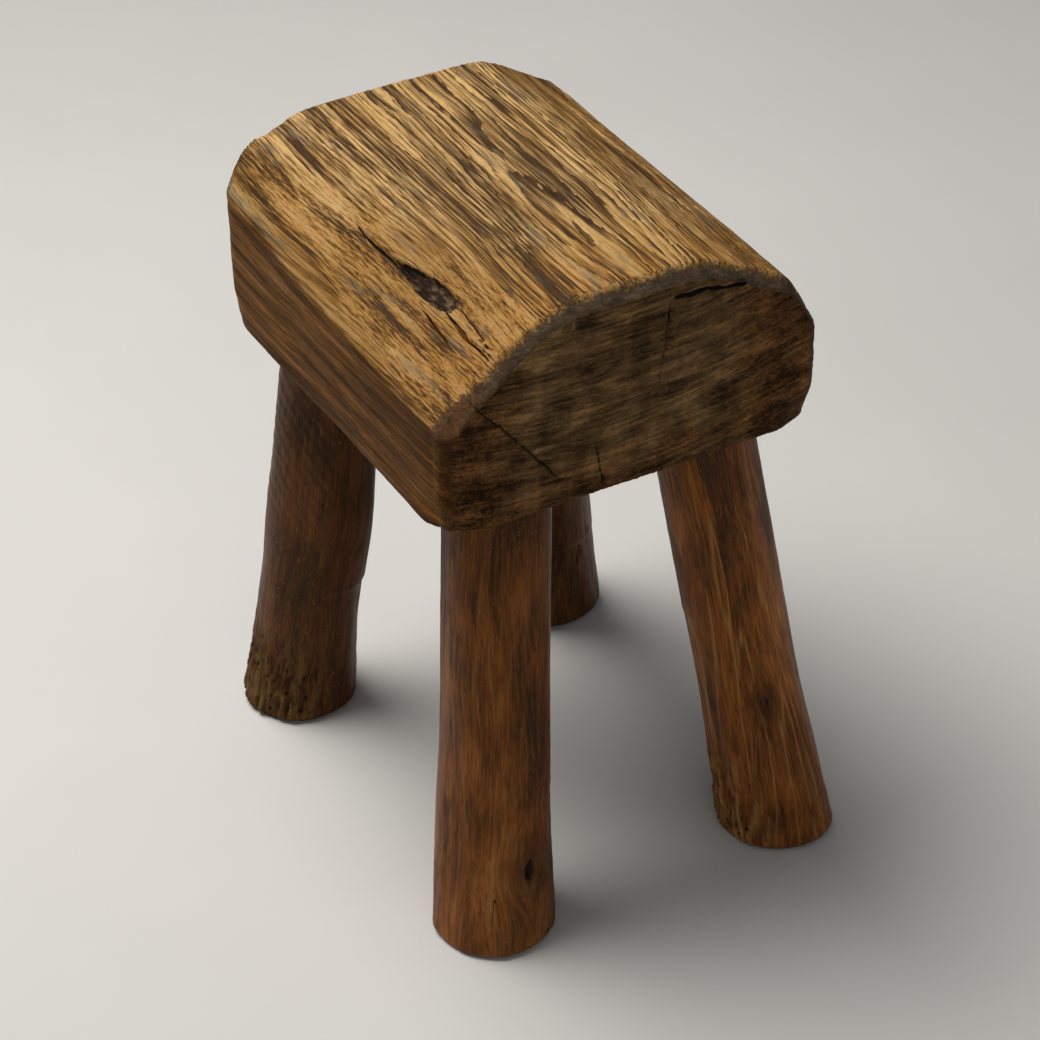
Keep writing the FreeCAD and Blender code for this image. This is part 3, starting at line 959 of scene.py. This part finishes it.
def build_leg(place, number, settings, colours):
    """One leg: its shaft grown along its leaning axis, and its tenon from the frame."""
    foot, lean = leg_axis(place)
    features = LEG_FEATURES[place]
    seed = settings.seed + 40.0 * number
    shaft = Grower("Shaved Leg " + place, {
        "Foot": tuple(foot),
        "Lean": tuple(lean),
        "Height": UNDERSIDE,
        "Radius": features["radius"] * MM,
        "Foot Radius": features["foot"] * MM,
        "Foot Edge": settings.foot_edge,
        "Swell Height": settings.swell_height,
        "Shaving": settings.shaving / MM,
        **{label: features[name] for name, label in PATTERN_LABELS.items()},
        "Sides": settings.sides + 1,
        "Rings": settings.rings + 1,
        "Seed": seed,
        "Material": leg_material("handled_leg_wood_" + place, features, seed, colours),
    })
    field, given = shaft.field, shaft.given
    foot_radius, edge, radius = given("Foot Radius"), given("Foot Edge"), given("Radius")
    swell_height = given("Swell Height")

    # The grid's Y follows the outline from the middle of the sole, round its rim and up to the
    # seat; its X goes once round the axis.
    shaft.geometry = field.node("GeometryNodeMeshGrid", None, {
        "Size X": 1.0, "Size Y": 1.0,
        "Vertices X": given("Sides"), "Vertices Y": given("Rings"),
    })
    position = field.node("GeometryNodeInputPosition")
    turn = position.part("X") * math.tau
    flat = foot_radius - edge
    rim = edge * (math.pi / 2)
    path = (position.part("Y") + 0.5) * (flat + rim + given("Height") - edge)
    bend = ((path - flat) / edge).at_least(0.0).at_most(math.pi / 2)
    z = edge * (1.0 - bend.math("COSINE", bend)) + (path - flat - rim).at_least(0.0)
    swollen = ((swell_height - z) / swell_height).at_least(0.0)
    reach = path.at_most(flat) + edge * bend.math("SINE", bend)
    reach = reach + (foot_radius - radius) * (swollen * swollen - 1.0)
    east, north = turn.math("COSINE", turn), turn.math("SINE", turn)
    upright = field.joined(east * reach / MM, north * reach / MM, z / MM)
    shaft.keep("place", upright)

    patterns = {name: given(label) for name, label in PATTERN_LABELS.items()}
    marks = leg_marks(upright, patterns, given("Seed"))
    relief = leg_relief(marks, given("Shaving"), patterns["knot_depth"]) * MM * bend.step(0.2, 1.3)
    reach = reach + relief
    out = field.joined(east * reach, north * reach, z)

    # A level cut through a leaning round is longer in the direction of the lean.
    leaning = field.joined(east * reach, north * reach, 0.0).along(given("Lean")) * 0.5
    shift = given("Lean").times((z + leaning).thrice())
    moved = field.vector("ADD", field.vector("ADD", given("Foot"), shift), out)
    shaft.then("GeometryNodeSetPosition", None, {"Position": moved})
    shaft.then("GeometryNodeMergeByDistance", None, {"Distance": MERGED})
    piece = object_from(bmesh.new(), "shaved_leg_" + place)
    shaft.grow(piece)
    add_tenon(piece, place, foot, lean)
    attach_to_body(piece, "root")
    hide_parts("leg_" + place)


def add_tenon(piece, place, foot, lean):
    """Closes the top of a shaft with its shoulder and the tenon of its frame."""
    tenon = cad_copy("leg_" + place)
    shaft_faces = [face for face in tenon.faces
                   if min(vertex.co.z for vertex in face.verts) < UNDERSIDE - MERGED
                   or max(vertex.co.z for vertex in face.verts) < UNDERSIDE + MERGED]
    bmesh.ops.delete(tenon, geom=shaft_faces, context="FACES")
    mesh = bpy.data.meshes.new("tenon")
    tenon.to_mesh(mesh)
    tenon.free()

    whole = bmesh.new()
    whole.from_mesh(piece.data)
    kept = whole.verts.layers.float_vector["place"]
    before = len(whole.verts)
    whole.from_mesh(mesh)
    bpy.data.meshes.remove(mesh)
    whole.verts.ensure_lookup_table()
    for vertex in whole.verts[before:]:
        vertex[kept] = (vertex.co - foot - lean * vertex.co.z) / MM
    rims = [edge for edge in whole.edges if edge.is_boundary]
    bmesh.ops.triangle_fill(whole, use_beauty=True, use_dissolve=False, edges=rims,
                            normal=(0, 0, 1))
    whole.to_mesh(piece.data)
    whole.free()


# ---------------- the wedges

def wedge_material(colours):
    """Clean, straight-grained riven wood whose grain runs up the wedge."""
    material, shader, field = new_material("riven_wedge_wood")
    place = field.node("ShaderNodeTexCoord", None, None, "Object")
    place = place.times((1 / MM, 1 / MM, 1 / MM))
    grain = place.wander((20, 20, 60), (2.0, 2.0, 0.0), 5.0)
    fibres = grain.noise((1.1, 1.1, 40), 6.0, 3.0, 0.6)
    pores = grain.noise((0.35, 0.35, 6.0), 7.0, 1.0).step(0.60, 0.70)
    tone = (fibres - 0.5) * 2.4 + 0.5
    base = tone.ramp((0.1, colours.wedge, 0.5), (0.6, colours.wedge, 1.0), (1.0, colours.wedge, 1.2))
    base = (pores * 0.4).blend(base, colours.groove)
    attach(shader, Base_Color=base, Roughness=0.6 + pores * 0.2)
    attach(shader, Normal=(fibres - pores * 0.5).bump(0.2, 0.6))
    return material


# ---------------- the stage

FLOOR_RADIUS = 6.0
FLOOR_DROP = 0.2 * MM  # keeps the floor off the soles of the legs
SENSOR_WIDTH = 36.0


def build_floor(colour):
    """A wide pale floor, slightly uneven in tone."""
    shape = bmesh.new()
    bmesh.ops.create_circle(shape, cap_ends=True, segments=96, radius=FLOOR_RADIUS)
    bmesh.ops.translate(shape, verts=shape.verts, vec=(0, 0, -FLOOR_DROP))
    piece = object_from(shape, "studio_floor")
    material, shader, field = new_material("pale_floor")
    place = field.node("ShaderNodeTexCoord", None, None, "Object")
    cloud = place.noise((0.35, 0.35, 0.35), 2.0, 4.0, 0.6)
    tint = 0.96 + (cloud - 0.5) * 0.16
    base = field.node("ShaderNodeRGB")
    base.socket.default_value = (*colour, 1.0)
    base = base.times(tint.thrice())
    attach(shader, Base_Color=base)
    shader.inputs["Roughness"].default_value = 0.8
    piece.data.materials.append(material)


def add_light(name, place, aim, size, power, tint=(1.0, 1.0, 1.0)):
    light = bpy.data.lights.new(name, "AREA")
    light.shape = "DISK"
    light.size = size
    light.energy = power
    light.color = tint
    lamp = bpy.data.objects.new(name, light)
    lamp.location = place
    lamp.rotation_euler = (Vector(aim) - Vector(place)).to_track_quat("-Z", "Y").to_euler()
    bpy.context.scene.collection.objects.link(lamp)


def build_camera(stage):
    """The camera, from the way it stands, how far it looks down and how far it is tipped."""
    data = bpy.data.cameras.new("camera")
    data.lens = stage.lens
    data.sensor_width = SENSOR_WIDTH
    camera = bpy.data.objects.new("camera", data)
    level = math.cos(stage.elevation)
    backwards = Vector((math.sin(stage.azimuth) * level, -math.cos(stage.azimuth) * level,
                        math.sin(stage.elevation)))
    aim = Vector(stage.aim)
    turned = backwards.to_track_quat("Z", "Y").to_matrix() @ Matrix.Rotation(stage.roll, 3, "Z")
    camera.matrix_world = Matrix.Translation(aim + backwards * stage.distance) @ turned.to_4x4()
    bpy.context.scene.collection.objects.link(camera)
    bpy.context.scene.camera = camera


# ---------------- the add-on

class STOOL_OT_block(bpy.types.Operator):
    """Build the weathered block seat with its rotten knot, checks and sockets"""
    bl_idname = "stool.block"
    bl_label = "Block seat"

    def execute(self, context):
        build_block(context.scene.stool_block, context.scene.stool_colours)
        return {"FINISHED"}


class STOOL_OT_legs(bpy.types.Operator):
    """Build the four shaved legs with their tenons"""
    bl_idname = "stool.legs"
    bl_label = "Legs"

    def execute(self, context):
        for number, place in enumerate(LEG_PLACES):
            build_leg(place, number, context.scene.stool_legs, context.scene.stool_colours)
        return {"FINISHED"}


class STOOL_OT_wedges(bpy.types.Operator):
    """Give the fox wedges their riven wood"""
    bl_idname = "stool.wedges"
    bl_label = "Fox wedges"

    def execute(self, context):
        material = wedge_material(context.scene.stool_colours)
        for place in LEG_PLACES:
            wedge = frame["nodes"]["fox_wedge_" + place]
            for slot in wedge.material_slots:
                slot.link = "OBJECT"
                slot.material = material
        return {"FINISHED"}


class STOOL_OT_stage(bpy.types.Operator):
    """Lay the floor and place the lights and the camera"""
    bl_idname = "stool.stage"
    bl_label = "Stage"

    def execute(self, context):
        stage = context.scene.stool_stage
        build_floor(tuple(stage.floor))
        add_light("key", (-0.55, -0.45, 1.75), (0.0, 0.0, 0.25), 1.3, stage.key, (1.0, 0.97, 0.93))
        add_light("fill", (1.6, -0.6, 1.1), (0.0, 0.0, 0.2), 1.4, stage.fill)
        world = bpy.data.worlds.new("studio")
        world.use_nodes = True
        background = world.node_tree.nodes["Background"]
        background.inputs["Color"].default_value = (0.95, 0.97, 1.0, 1.0)
        background.inputs["Strength"].default_value = stage.surround
        context.scene.world = world
        context.scene.view_settings.view_transform = "Standard"
        build_camera(stage)
        return {"FINISHED"}


OPERATORS = (STOOL_OT_block, STOOL_OT_legs, STOOL_OT_wedges, STOOL_OT_stage)
GROUPS = {
    "stool_block": StoolBlock,
    "stool_legs": StoolLegs,
    "stool_colours": StoolColours,
    "stool_stage": StoolStage,
}


class STOOL_PT_panel(bpy.types.Panel):
    """Lists the stool's settings and the parts that can be built."""
    bl_idname = "STOOL_PT_panel"
    bl_label = "Milking Stool"
    bl_space_type = "VIEW_3D"
    bl_region_type = "UI"
    bl_category = "Stool"

    def draw(self, context):
        for operator in OPERATORS:
            self.layout.operator(operator.bl_idname)
        for name, group in GROUPS.items():
            box = self.layout.box()
            for setting in group.__annotations__:
                box.prop(getattr(context.scene, name), setting)


def register():
    for part in (*GROUPS.values(), *OPERATORS, STOOL_PT_panel):
        bpy.utils.register_class(part)
    for name, group in GROUPS.items():
        setattr(bpy.types.Scene, name, PointerProperty(type=group))


def unregister():
    for name in GROUPS:
        delattr(bpy.types.Scene, name)
    for part in reversed((*GROUPS.values(), *OPERATORS, STOOL_PT_panel)):
        bpy.utils.unregister_class(part)


def main():
    register()
    for operator in ("block", "legs", "wedges", "stage"):
        getattr(bpy.ops.stool, operator)()


if __name__ == "__main__":
    main()
